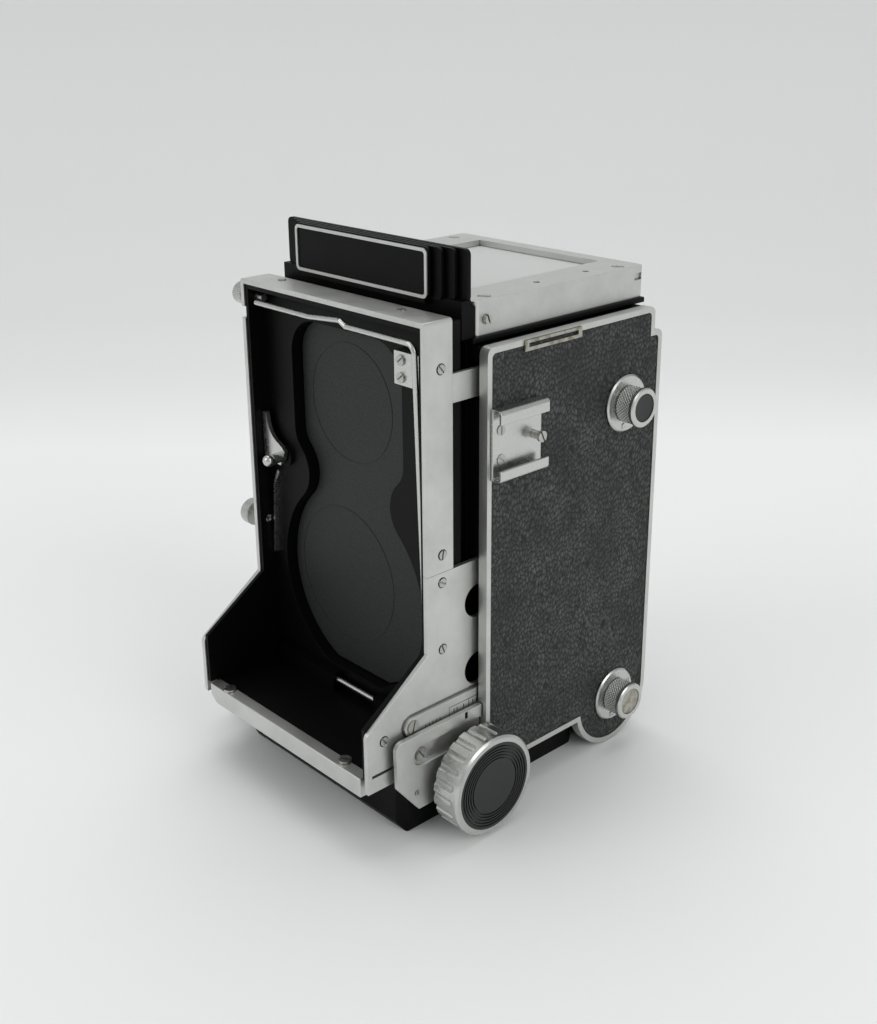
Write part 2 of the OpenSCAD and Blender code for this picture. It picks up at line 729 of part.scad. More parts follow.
module pressure_plate() color(black) difference() {
  block([-29.5, 54.9, 33], [29.5, 56.2, 91]);
  for (x = [-20, 20], z = [45, 79]) rod_y(50, 60, [x, z], 2);
}

body_casting();
left_side_cover();
right_side_cover();
side_leatherettes();
base_block();
tripod_socket();
focus_brackets();
body_screws();
hood_seat_frame();
focusing_screen();
screen_retainer();
top_light_seal();
reflex_mirror();
mirror_holder();
nameplate_housing();
nameplate_bezel();
accessory_shoe();
shoe_screws();
spool_flanges();
winding_flange();
film_gate();
upper_film_roller();
lower_film_roller();
strap_lugs();
back_latch();
door_hinge_pin();
bellows_rear_frame();
bellows();
bellows_front_frame();
standard_frame();
left_side_plate();
right_side_plate();
lens_seat_casting();
standard_floor();
floor_trim_strip();
standard_screws();
focus_scale();
locating_plate();
guide_bars();
dust_plate();
lens_bail();
bail_clips();
bail_latch_knob();
release_button();
release_lever();
lever_spring();
focus_shaft();
focus_pinions();
left_focus_knob();
right_focus_knob();
focus_knob_caps();
upper_spool_knob();
lower_spool_knob();
upper_spool_collar();
lower_spool_collar();
take_up_spool();
winding_knob();
back_door();
door_leatherette();
pressure_plate();
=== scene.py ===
"""Twin lens reflex camera body: finishes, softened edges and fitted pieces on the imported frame."""
import json
import math

import bmesh
import bpy
import numpy as np
from mathutils import Matrix, Vector


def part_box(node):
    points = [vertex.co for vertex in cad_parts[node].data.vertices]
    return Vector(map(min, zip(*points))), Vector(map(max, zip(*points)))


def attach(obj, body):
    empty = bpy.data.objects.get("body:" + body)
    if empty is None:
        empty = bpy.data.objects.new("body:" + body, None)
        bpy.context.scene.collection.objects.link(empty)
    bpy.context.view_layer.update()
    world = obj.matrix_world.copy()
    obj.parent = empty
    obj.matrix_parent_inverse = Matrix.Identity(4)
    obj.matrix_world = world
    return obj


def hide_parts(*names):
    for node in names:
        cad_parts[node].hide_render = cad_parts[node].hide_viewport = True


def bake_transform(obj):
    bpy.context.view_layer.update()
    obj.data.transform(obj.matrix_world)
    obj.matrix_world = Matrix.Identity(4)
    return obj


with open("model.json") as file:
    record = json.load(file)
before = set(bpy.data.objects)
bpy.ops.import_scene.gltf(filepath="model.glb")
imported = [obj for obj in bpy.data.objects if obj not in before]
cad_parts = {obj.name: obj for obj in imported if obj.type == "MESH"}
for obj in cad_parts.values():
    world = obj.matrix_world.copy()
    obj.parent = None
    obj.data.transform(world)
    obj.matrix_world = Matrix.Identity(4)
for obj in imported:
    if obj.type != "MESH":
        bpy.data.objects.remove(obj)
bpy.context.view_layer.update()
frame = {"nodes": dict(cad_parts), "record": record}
MM = 0.001
NODES = frame["nodes"]

bl_info = {
    "name": "Twin lens reflex camera body",
    "version": (1, 0, 0),
    "blender": (4, 5, 0),
    "location": "View3D > Sidebar > TLR Camera",
    "description": "Dresses the frame of a medium-format twin lens reflex camera",
    "category": "Object",
}


# ------------------------------------------------------------------ settings

class FinishSettings(bpy.types.PropertyGroup):
    """Colours of the camera's finishes."""

    chrome: bpy.props.StringProperty(
        name="Satin chrome", description="sRGB hex of the satin-chromed sheet", default="#cfd0cd")
    bright: bpy.props.StringProperty(
        name="Bright chrome", description="sRGB hex of knobs and the shoe", default="#c9cac7")
    enamel: bpy.props.StringProperty(
        name="Black enamel", description="sRGB hex of the enamelled castings", default="#050505")
    leather: bpy.props.StringProperty(
        name="Leatherette", description="sRGB hex of the pebbled covering", default="#232524")
    plate: bpy.props.StringProperty(
        name="Dust plate", description="sRGB hex of the plate in the twin opening",
        default="#131414")


class CoverSettings(bpy.types.PropertyGroup):
    """Sizes of the pebbled coverings."""

    rim: bpy.props.FloatProperty(
        name="Rim width", description="Metal rim left round a side covering",
        default=1.7 * MM, min=0.5 * MM, max=4 * MM, subtype="DISTANCE", unit="LENGTH")
    cell: bpy.props.FloatProperty(
        name="Pebble width", description="Width of one pebble of the grain",
        default=1.15 * MM, min=0.5 * MM, max=4 * MM, subtype="DISTANCE", unit="LENGTH")
    relief: bpy.props.FloatProperty(
        name="Relief", description="Height of the pebbles over their creases",
        default=0.45 * MM, min=0.0, max=1 * MM, subtype="DISTANCE", unit="LENGTH")
    step: bpy.props.FloatProperty(
        name="Grid step", description="Spacing of the covering's surface grid",
        default=0.34 * MM, min=0.2 * MM, max=2 * MM, subtype="DISTANCE", unit="LENGTH")


class BellowsSettings(bpy.types.PropertyGroup):
    """Sizes of the pleated bellows."""

    folds: bpy.props.IntProperty(
        name="Folds", description="Number of outward pleats", default=11, min=3, max=30)
    depth: bpy.props.FloatProperty(
        name="Pleat depth", description="Depth of a pleat from its outer to its inner fold",
        default=5 * MM, min=1 * MM, max=12 * MM, subtype="DISTANCE", unit="LENGTH")


class StudioSettings(bpy.types.PropertyGroup):
    """The viewing camera, the floor, the sweep and the lights."""

    place: bpy.props.FloatVectorProperty(
        name="Camera place", description="Where the viewing camera stands",
        default=(0.27774, -0.24587, 0.22960), subtype="TRANSLATION", unit="LENGTH", precision=5)
    azimuth: bpy.props.FloatProperty(
        name="Azimuth", description="Angle round the object from its front, to its left",
        default=math.radians(47.93), subtype="ANGLE", unit="ROTATION")
    elevation: bpy.props.FloatProperty(
        name="Elevation", description="Angle of the view above the floor",
        default=math.radians(20.09), subtype="ANGLE", unit="ROTATION")
    roll: bpy.props.FloatProperty(
        name="Roll", description="Turn of the camera about its view",
        default=math.radians(-0.72), subtype="ANGLE", unit="ROTATION")
    focal: bpy.props.FloatProperty(
        name="Focal length", description="Focal length in mm on a sensor 36 mm high",
        default=45.7488, min=10, max=300)
    shift: bpy.props.FloatVectorProperty(
        name="Shift", description="Shift of the lens, in parts of the sensor",
        size=2, default=(0.016221, -0.043857))
    paper: bpy.props.StringProperty(
        name="Paper", description="sRGB hex of the paper sweep", default="#f0f1f0")
    turn: bpy.props.FloatProperty(
        name="Sweep radius", description="Radius of the paper's turn from floor to wall",
        default=0.22, min=0.05, subtype="DISTANCE", unit="LENGTH")
    reach: bpy.props.FloatProperty(
        name="Floor behind", description="Flat floor behind the object before the turn",
        default=0.42, min=0.1, subtype="DISTANCE", unit="LENGTH")
    wall_top: bpy.props.FloatProperty(
        name="Wall top", description="Height of the paper's wall",
        default=0.36, min=0.1, subtype="DISTANCE", unit="LENGTH")
    fill: bpy.props.FloatProperty(
        name="Fill", description="Strength of the even fill light", default=0.50, min=0.0)
    top: bpy.props.FloatProperty(
        name="Top light", description="Power of the softbox above", default=8.5, min=0.0)
    front: bpy.props.FloatProperty(
        name="Front light", description="Power of the softbox at the lens side", default=4.5,
        min=0.0)
    side: bpy.props.FloatProperty(
        name="Side light", description="Power of the softbox at the shoe side", default=6.2,
        min=0.0)


# ------------------------------------------------------------------- helpers

def linear(hex_colour):
    """Turns an sRGB hex colour into linear RGBA."""
    srgb = [int(hex_colour[i:i + 2], 16) / 255 for i in (1, 3, 5)]
    return [c / 12.92 if c <= 0.04045 else ((c + 0.055) / 1.055) ** 2.4 for c in srgb] + [1.0]


def add(tree, kind, inputs=None, **settings):
    """Adds a node with its settings; an input given as a socket is linked, else it is set."""
    made = tree.nodes.new(kind)
    for key, value in settings.items():
        setattr(made, key, value)
    for key, value in (inputs or {}).items():
        if isinstance(value, bpy.types.NodeSocket):
            tree.links.new(value, made.inputs[key])
        else:
            made.inputs[key].default_value = value
    return made


def new_material(name, colour, **sockets):
    """Starts a material: returns it, its node tree and its Principled shader."""
    material = bpy.data.materials.new(name)
    material.use_nodes = True
    tree = material.node_tree
    shader = tree.nodes["Principled BSDF"]
    shader.inputs["Base Color"].default_value = linear(colour)
    for key, value in sockets.items():
        shader.inputs[key.replace("_", " ")].default_value = value
    return material, tree, shader


def new_mesh(name, verts, faces, smooth=True):
    """Puts arrays of vertices (metres) and quads into a new object at the origin."""
    mesh = bpy.data.meshes.new(name)
    mesh.from_pydata(verts.tolist(), [], faces.tolist())
    mesh.validate()
    if smooth:
        mesh.polygons.foreach_set("use_smooth", np.ones(len(mesh.polygons), bool))
    mesh.update()
    made = bpy.data.objects.new(name, mesh)
    bpy.context.scene.collection.objects.link(made)
    return made


def grid_faces(rows, cols, wrap=False, start=0):
    """Quads over a rows x cols grid of vertices; wrap joins the last column to the first."""
    i, j = np.meshgrid(np.arange(rows - 1), np.arange(cols if wrap else cols - 1), indexing="ij")
    k = (j + 1) % cols
    quads = np.stack([i * cols + j, i * cols + k, (i + 1) * cols + k, (i + 1) * cols + j], -1)
    return quads.reshape(-1, 4) + start


def face_out(piece):
    """Recalculates a closed piece's normals to point outwards."""
    work = bmesh.new()
    work.from_mesh(piece.data)
    bmesh.ops.remove_doubles(work, verts=work.verts, dist=1e-7)
    bmesh.ops.recalc_face_normals(work, faces=work.faces)
    work.to_mesh(piece.data)
    work.free()


def wear(piece, *materials):
    """Gives a piece its materials in place of any it has."""
    piece.data.materials.clear()
    for material in materials:
        piece.data.materials.append(material)


def soften(name, width, join=True, segments=2, angle=32):
    """Welds a CAD node's triangles and rounds its sharp edges by width (mm).

    join merges flat neighbours first; thin rims keep their triangles instead.
    """
    node = NODES[name]
    weld = node.modifiers.new("weld", "WELD")
    weld.merge_threshold = 1e-6
    if join:
        flat = node.modifiers.new("flat", "DECIMATE")
        flat.decimate_type = "DISSOLVE"
        flat.angle_limit = math.radians(0.6)
    bevel = node.modifiers.new("round", "BEVEL")
    bevel.width = width * MM
    bevel.segments = segments
    bevel.limit_method = "ANGLE"
    bevel.angle_limit = math.radians(angle)
    bevel.miter_outer = "MITER_ARC"
    node.data.polygons.foreach_set("use_smooth", np.ones(len(node.data.polygons), bool))
    split = node.modifiers.new("sharp", "EDGE_SPLIT")
    split.split_angle = math.radians(50)
    normals = node.modifiers.new("normals", "WEIGHTED_NORMAL")
    normals.weight = 100


def box_mm(name):
    """A node's box in millimetres as two arrays."""
    low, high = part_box(name)
    return np.array(low) / MM, np.array(high) / MM


# ----------------------------------------------------------------- materials

def object_coords(tree, scale):
    """Object coordinates scaled so that one pattern cell is 1/scale metre wide."""
    coords = add(tree, "ShaderNodeTexCoord")
    return add(tree, "ShaderNodeMapping",
               {"Vector": coords.outputs["Object"], "Scale": (scale, scale, scale)})


def paint_recess_shade(tree, shader, colour, reach):
    """Paints shade: darkens corners and slots within reach (mm) of a surface, where shade falls.

    colour is a socket with the unshaded colour or an sRGB hex.
    """
    open_sky = add(tree, "ShaderNodeAmbientOcclusion", {"Distance": reach * MM}, samples=8)
    amount = add(tree, "ShaderNodeMapRange",
                 {"Value": open_sky.outputs["AO"], "From Min": 0.35, "From Max": 0.85,
                  "To Min": 0.85, "To Max": 0.0})
    mix = add(tree, "ShaderNodeMix", {"Factor": amount.outputs[0]}, data_type="RGBA")
    if isinstance(colour, bpy.types.NodeSocket):
        tree.links.new(colour, mix.inputs["A"])
    else:
        mix.inputs["A"].default_value = linear(colour)
    # painted shade colour, mixed in where the occlusion is deep
    mix.inputs["B"].default_value = linear("#26251f")
    tree.links.new(mix.outputs["Result"], shader.inputs["Base Color"])


def satin_chrome():
    """Brass sheet, bead-blasted and chromed. An even silver with a soft sheen, faint handling
    marks and a fine blasted grain."""
    colour = bpy.context.scene.tlr_finish.chrome
    material, tree, shader = new_material("satin_chromed_sheet", colour, Metallic=0.92)
    # smudges about 9 mm across change the sheen, the blasted grain is 0.12 mm
    large = object_coords(tree, 110)
    cloud = add(tree, "ShaderNodeTexNoise",
                {"Vector": large.outputs[0], "Scale": 1.0, "Detail": 6.0, "Roughness": 0.62})
    rough = add(tree, "ShaderNodeMapRange",
                {"Value": cloud.outputs["Fac"], "From Min": 0.3, "From Max": 0.7,
                 "To Min": 0.34, "To Max": 0.47})
    tree.links.new(rough.outputs[0], shader.inputs["Roughness"])
    tone = add(tree, "ShaderNodeMapRange",
               {"Value": cloud.outputs["Fac"], "From Min": 0.35, "From Max": 0.75,
                "To Min": 0.0, "To Max": 0.35})
    stain = add(tree, "ShaderNodeMix", {"Factor": tone.outputs[0]}, data_type="RGBA")
    stain.inputs["A"].default_value = linear(colour)
    stain.inputs["B"].default_value = linear("#aeafaa")
    # painted shade: corners and gaps round screws and seats darkened by occlusion
    paint_recess_shade(tree, shader, stain.outputs["Result"], 0.7)
    fine = object_coords(tree, 8000)
    grain = add(tree, "ShaderNodeTexNoise",
                {"Vector": fine.outputs[0], "Scale": 1.0, "Detail": 2.0})
    bump = add(tree, "ShaderNodeBump",
               {"Height": grain.outputs["Fac"], "Strength": 0.25, "Distance": 0.00002})
    tree.links.new(bump.outputs[0], shader.inputs["Normal"])
    return material


def bright_chrome():
    """Turned brass with polished chrome. A brighter silver that picks up the studio, with fine
    turning marks and a trace of dulling."""
    colour = bpy.context.scene.tlr_finish.bright
    material, tree, shader = new_material("bright_chromed_brass", colour, Metallic=1.0)
    place = object_coords(tree, 350)
    cloud = add(tree, "ShaderNodeTexNoise",
                {"Vector": place.outputs[0], "Scale": 1.0, "Detail": 5.0, "Roughness": 0.6})
    rough = add(tree, "ShaderNodeMapRange",
                {"Value": cloud.outputs["Fac"], "From Min": 0.3, "From Max": 0.7,
                 "To Min": 0.24, "To Max": 0.34})
    tree.links.new(rough.outputs[0], shader.inputs["Roughness"])
    fine = object_coords(tree, 5000)
    grain = add(tree, "ShaderNodeTexNoise",
                {"Vector": fine.outputs[0], "Scale": 1.0, "Detail": 1.0})
    bump = add(tree, "ShaderNodeBump",
               {"Height": grain.outputs["Fac"], "Strength": 0.04, "Distance": 0.00002})
    tree.links.new(bump.outputs[0], shader.inputs["Normal"])
    return material


def knurled_chrome():
    """Knurled and chromed brass. Bright crests with painted shade between them."""
    material, tree, shader = new_material("knurled_chromed_brass", "#c9cac7", Metallic=1.0,
                                          Roughness=0.3)
    # painted shade in the grooves between the crests
    paint_recess_shade(tree, shader, "#c9cac7", 0.5)
    return material


def nickel_steel():
    """Nickelled steel screws and shafts. A slightly warm, darker metal with small scratches."""
    material, tree, shader = new_material("nickelled_steel", "#b3b2ad", Metallic=1.0)
    place = object_coords(tree, 900)
    cloud = add(tree, "ShaderNodeTexNoise",
                {"Vector": place.outputs[0], "Scale": 1.0, "Detail": 5.0})
    rough = add(tree, "ShaderNodeMapRange",
                {"Value": cloud.outputs["Fac"], "To Min": 0.18, "To Max": 0.42})
    tree.links.new(rough.outputs[0], shader.inputs["Roughness"])
    # painted shade: screw slots and the gaps round the heads darkened by occlusion
    paint_recess_shade(tree, shader, "#b9b8b3", 0.5)
    return material


def black_enamel():
    """Die-cast alloy under stoved black enamel. Deep black with a low gloss, a slight orange
    peel and pale dust caught in it."""
    colour = bpy.context.scene.tlr_finish.enamel
    material, tree, shader = new_material("stoved_black_enamel", colour, Roughness=0.45,
                                          Specular_IOR_Level=0.12)
    dust = object_coords(tree, 700)
    specks = add(tree, "ShaderNodeTexNoise",
                 {"Vector": dust.outputs[0], "Scale": 1.0, "Detail": 8.0, "Roughness": 0.7})
    amount = add(tree, "ShaderNodeMapRange",
                 {"Value": specks.outputs["Fac"], "From Min": 0.6, "From Max": 0.8,
                  "To Min": 0.0, "To Max": 0.35})
    mix = add(tree, "ShaderNodeMix", {"Factor": amount.outputs[0]}, data_type="RGBA")
    mix.inputs["A"].default_value = linear(colour)
    mix.inputs["B"].default_value = linear("#2c2d2c")
    tree.links.new(mix.outputs["Result"], shader.inputs["Base Color"])
    peel = object_coords(tree, 1600)
    wave = add(tree, "ShaderNodeTexNoise", {"Vector": peel.outputs[0], "Scale": 1.0, "Detail": 2.0})
    bump = add(tree, "ShaderNodeBump",
               {"Height": wave.outputs["Fac"], "Strength": 0.3, "Distance": 0.00005})
    tree.links.new(bump.outputs[0], shader.inputs["Normal"])
    return material


def pebbled_leatherette():
    """Embossed leather cloth, glued on. Near black, with painted shade in the creases, tops
    lightened to a grey that is partly rubbed wear and partly painted highlight, fine cracks
    and a low uneven sheen."""
    colour = bpy.context.scene.tlr_finish.leather
    material, tree, shader = new_material("pebbled_leatherette", colour)
    grain = add(tree, "ShaderNodeAttribute", attribute_name="pebble")
    patches_at = object_coords(tree, 70)
    patches = add(tree, "ShaderNodeTexNoise",
                  {"Vector": patches_at.outputs[0], "Scale": 1.0, "Detail": 5.0})
    crease_shade_and_rub = add(tree, "ShaderNodeMath",
                 {0: grain.outputs["Fac"], 1: patches.outputs["Fac"]}, operation="MULTIPLY")
    tone = add(tree, "ShaderNodeValToRGB", {"Fac": crease_shade_and_rub.outputs[0]})
    ramp = tone.color_ramp
    # painted shade in the creases (near black); tops grey, partly rubbed wear, partly painted
    # highlight
    ramp.elements[0].position, ramp.elements[0].color = 0.05, linear("#0c0d0d")
    ramp.elements[1].position, ramp.elements[1].color = 0.62, linear("#484b49")
    ramp.elements.new(0.3).color = linear(colour)
    tree.links.new(tone.outputs["Color"], shader.inputs["Base Color"])
    gloss = add(tree, "ShaderNodeMapRange",
                {"Value": grain.outputs["Fac"], "To Min": 0.75, "To Max": 0.36})
    tree.links.new(gloss.outputs[0], shader.inputs["Roughness"])
    fine_at = object_coords(tree, 2600)
    fine = add(tree, "ShaderNodeTexNoise",
               {"Vector": fine_at.outputs[0], "Scale": 1.0, "Detail": 4.0, "Roughness": 0.65})
    bump = add(tree, "ShaderNodeBump",
               {"Height": fine.outputs["Fac"], "Strength": 0.5, "Distance": 0.00005})
    tree.links.new(bump.outputs[0], shader.inputs["Normal"])
    return material


def bellows_cloth():
    """Rubberised black cloth. Dull black with a faint sheen on the folds."""
    material, tree, shader = new_material("rubberised_cloth", "#101010", Roughness=0.7)
    shader.inputs["Sheen Weight"].default_value = 0.15
    place = object_coords(tree, 3000)
    weave = add(tree, "ShaderNodeTexNoise",
                {"Vector": place.outputs[0], "Scale": 1.0, "Detail": 3.0})
    bump = add(tree, "ShaderNodeBump",
               {"Height": weave.outputs["Fac"], "Strength": 0.3, "Distance": 0.00004})
    tree.links.new(bump.outputs[0], shader.inputs["Normal"])
    return material


def matt_plate():
    """Aluminium plate with a matt black anodised face. Charcoal grey with pale specks of dust."""
    colour = bpy.context.scene.tlr_finish.plate
    material, tree, shader = new_material("matt_anodised_plate", colour, Roughness=0.62)
    place = object_coords(tree, 1500)
    specks = add(tree, "ShaderNodeTexNoise",
                 {"Vector": place.outputs[0], "Scale": 1.0, "Detail": 8.0, "Roughness": 0.75})
    amount = add(tree, "ShaderNodeMapRange",
                 {"Value": specks.outputs["Fac"], "From Min": 0.45, "From Max": 0.72,
                  "To Min": 0.0, "To Max": 0.6})
    mix = add(tree, "ShaderNodeMix", {"Factor": amount.outputs[0]}, data_type="RGBA")
    mix.inputs["A"].default_value = linear(colour)
    mix.inputs["B"].default_value = linear("#3a3c3c")
    tree.links.new(mix.outputs["Result"], shader.inputs["Base Color"])
    bump = add(tree, "ShaderNodeBump",
               {"Height": specks.outputs["Fac"], "Strength": 0.35, "Distance": 0.00004})
    tree.links.new(bump.outputs[0], shader.inputs["Normal"])
    return material


def ground_screen():
    """Ground glass. A pale, even, slightly green-grey sheet that light soaks into."""
    material, tree, shader = new_material("ground_glass", "#cfd2cf", Roughness=0.45)
    shader.inputs["Transmission Weight"].default_value = 0.12
    place = object_coords(tree, 6000)
    grind = add(tree, "ShaderNodeTexNoise",
                {"Vector": place.outputs[0], "Scale": 1.0, "Detail": 2.0})
    bump = add(tree, "ShaderNodeBump",
               {"Height": grind.outputs["Fac"], "Strength": 0.4, "Distance": 0.00002})
    tree.links.new(bump.outputs[0], shader.inputs["Normal"])
    return material


def silvered_mirror():
    """Front-silvered mirror glass. A clear bright reflection with hazy patches."""
    material, tree, shader = new_material("silvered_mirror", "#dfe3e4", Metallic=1.0)
    place = object_coords(tree, 120)
    haze = add(tree, "ShaderNodeTexNoise",
                {"Vector": place.outputs[0], "Scale": 1.0, "Detail": 4.0})
    rough = add(tree, "ShaderNodeMapRange",
                {"Value": haze.outputs["Fac"], "To Min": 0.01, "To Max": 0.08})
    tree.links.new(rough.outputs[0], shader.inputs["Roughness"])
    return material


def worn_brass():
    """Chromed brass lug with its plating rubbed through. Silver with yellow-brown brass showing."""
    material, tree, shader = new_material("rubbed_brass", "#8f8977", Metallic=1.0, Roughness=0.42)
    place = object_coords(tree, 420)
    cloud = add(tree, "ShaderNodeTexNoise",
                {"Vector": place.outputs[0], "Scale": 1.0, "Detail": 6.0})
    amount = add(tree, "ShaderNodeMapRange",
                 {"Value": cloud.outputs["Fac"], "From Min": 0.36, "From Max": 0.56})
    mix = add(tree, "ShaderNodeMix", {"Factor": amount.outputs[0]}, data_type="RGBA")
    mix.inputs["A"].default_value = linear("#8f8977")
    mix.inputs["B"].default_value = linear("#b4b3ac")
    tree.links.new(mix.outputs["Result"], shader.inputs["Base Color"])
    return material


def black_bakelite():
    """Moulded bakelite. Glossy black with a faint swirl in its polish."""
    material, tree, shader = new_material("moulded_bakelite", "#121213", Roughness=0.32)
    place = object_coords(tree, 500)
    cloud = add(tree, "ShaderNodeTexNoise",
                {"Vector": place.outputs[0], "Scale": 1.0, "Detail": 5.0})
    rough = add(tree, "ShaderNodeMapRange",
                {"Value": cloud.outputs["Fac"], "To Min": 0.24, "To Max": 0.44})
    tree.links.new(rough.outputs[0], shader.inputs["Roughness"])
    return material


MAKERS = {
    "black_paint": black_enamel, "black_casting": black_enamel, "satin_metal": satin_chrome,
    "leatherette": pebbled_leatherette, "steel": nickel_steel, "chrome": bright_chrome,
    "ground_glass": ground_screen,
    "mirror": silvered_mirror, "brass": worn_brass, "bellows_cloth": bellows_cloth,
    "dust_plate": matt_plate, "black_plastic": black_bakelite,
}
FINISHES = {}


class TLR_OT_finishes(bpy.types.Operator):
    """Makes every material and gives each node the one of its slot"""

    bl_idname = "tlr.finishes"
    bl_label = "Make finishes"

    def execute(self, context):
        for slot_name, maker in MAKERS.items():
            FINISHES[slot_name] = maker()
        FINISHES["knurl"] = knurled_chrome()
        for part in frame["record"]["subparts"]:
            wear(NODES[part["node"]], FINISHES[part["material_slot"]])
        return {"FINISHED"}


class TLR_OT_edges(bpy.types.Operator):
    """Rounds the sharp edges of the visible metalwork"""

    bl_idname = "tlr.edges"
    bl_label = "Soften edges"

    def execute(self, context):
        for name, width in (
                ("standard_frame", 0.3), ("left_side_plate", 0.2), ("right_side_plate", 0.2),
                ("hood_seat_frame", 0.4), ("floor_trim_strip", 0.3), ("focus_brackets", 0.3),
                ("accessory_shoe", 0.2),
                ("nameplate_housing", 0.15), ("locating_plate", 0.2), ("base_block", 0.8),
                ("top_light_seal", 0.3), ("lens_seat_casting", 0.15), ("guide_bars", 0.2)):
            soften(name, width)
        for name in ("left_side_cover", "right_side_cover"):
            soften(name, 0.2, join=False)
        return {"FINISHED"}


# ------------------------------------------------------------------ covering

# the body's side outline that the covers are cut to, in mm
NOTCH_Y, NOTCH_Z = 58.0, 134.4   # where the top steps down at the rear
BELLY_Z = 12.9                   # underside ahead of the lower chamber
CHAMBER_R = 16.7                 # lower chamber
CORNER_R = 2.2                   # upper corners


def hash_noise(ix, iy, seed):
    """Repeatable pseudo-random numbers in 0..1 from integer cells."""
    value = np.sin(ix * 127.1 + iy * 311.7 + seed * 74.7) * 43758.5453
    return value - np.floor(value)


def pebble(u, v, width):
    """Leather grain over a plane, 0 in the creases to 1 on the pebbles.

    Each cell of a grid 1 wide by 1.7 high holds one jittered point, and the height is how much
    nearer the nearest point is than the second nearest, rounded off. The plane is first bent by
    slow sines, so that the rows of cells don't show.
    """
    x = u / width + 0.55 * np.sin(v / width * 0.7) + 0.3 * np.sin(u / width * 0.33 + 1.3)
    y = v / (1.55 * width) + 0.45 * np.sin(u / width * 0.6) + 0.3 * np.sin(v / width * 0.27)
    ix, iy = np.floor(x), np.floor(y)
    near = np.full(x.shape, 9.0)
    second = np.full(x.shape, 9.0)
    for dx in (-1, 0, 1):
        for dy in (-1, 0, 1):
            cx, cy = ix + dx, iy + dy
            px = cx + hash_noise(cx, cy, 1.0)
            py = cy + hash_noise(cx, cy, 2.0)
            d = np.hypot(x - px, y - py)
            second = np.where(d < near, near, np.minimum(second, d))
            near = np.minimum(near, d)
    return 1 - np.exp(-4.0 * np.clip(second - near, 0, None))


def store_pebble(cloth, height):
    """Keeps the height of the grain, 0 to 1, on the covering for its material to read."""
    layer = cloth.data.attributes.new("pebble", "FLOAT", "POINT")
    layer.data.foreach_set("value", height.ravel().astype(np.float32))


def cover_span(y, rim):
    """Bottom and top of a side covering at depth y (mm): the body's outline, rim inside it.

    The bottom is a straight line that dips under the lower chamber along its circle, the top
    steps down behind the notch, and each upper corner falls along a quarter circle.
    """
    low_cover, high_cover = box_mm("right_side_cover")
    front, rear = low_cover[1] + rim, high_cover[1] - rim
    notch = NOTCH_Y - rim
    bottom_line = BELLY_Z + rim
    centre_y, centre_z = high_cover[1] - CHAMBER_R, CHAMBER_R
    across = np.clip((CHAMBER_R - rim) ** 2 - (y - centre_y) ** 2, 0, None)
    bulge = centre_z - np.sqrt(across)
    inside = np.abs(y - centre_y) < CHAMBER_R - rim
    bottom = np.where(inside, np.minimum(bulge, np.where(y < centre_y, bottom_line, bulge)),
                      bottom_line)
    before = y <= notch + 1e-6
    top = np.where(before, high_cover[2] - rim, NOTCH_Z - rim)
    corner = (CORNER_R * 2 - rim) / 2
    for edge, sign in ((front, 1), (notch, -1), (rear, -1)):
        t = np.clip(corner - sign * (y - edge), 0, corner)
        drop = corner - np.sqrt(corner ** 2 - t ** 2)
        on_this = before if edge != rear else ~before
        top = np.where(on_this, top - drop, top)
        if edge == front:
            bottom = bottom + drop
    return bottom, top


def pad_strip(y0, y1, settings, side):
    """One strip of the side covering between two depths, as a grid of points (mm).

    x(y, z) = face + relief * (pebble(y, z) - 1) less a dip that falls off exponentially from
    the edge, over lines that run from the outline's bottom to its top.
    """
    step = settings.step / MM
    cols = max(3, int((y1 - y0) / step))
    rows = int(128 / step)
    y = y0 + (y1 - y0) * (1 - np.cos(np.linspace(0, math.pi, cols))) / 2 * 0.08 \
        + (y1 - y0) * np.linspace(0, 1, cols) * 0.92
    bottom, top = cover_span(y, settings.rim / MM)
    t = np.linspace(0, 1, rows)[:, None]
    z = bottom + (top - bottom) * t
    yy = np.broadcast_to(y, z.shape)
    face = box_mm("side_leatherettes")[1][0]
    edge = np.minimum.reduce([z - bottom, top - z, yy - cover_front(settings),
                              cover_rear(settings) - yy])
    dip = np.exp(-np.clip(edge, 0, None) / 0.35) * 0.18
    height = pebble(yy, z, settings.cell / MM) * settings.relief / MM
    x = face - settings.relief / MM + height - dip + 0.06
    return np.stack([x * side, yy, z], -1), height / (settings.relief / MM)


def cover_front(settings):
    """Front edge of a side covering (mm)."""
    return box_mm("right_side_cover")[0][1] + settings.rim / MM


def cover_rear(settings):
    """Rear edge of a side covering (mm)."""
    return box_mm("right_side_cover")[1][1] - settings.rim / MM


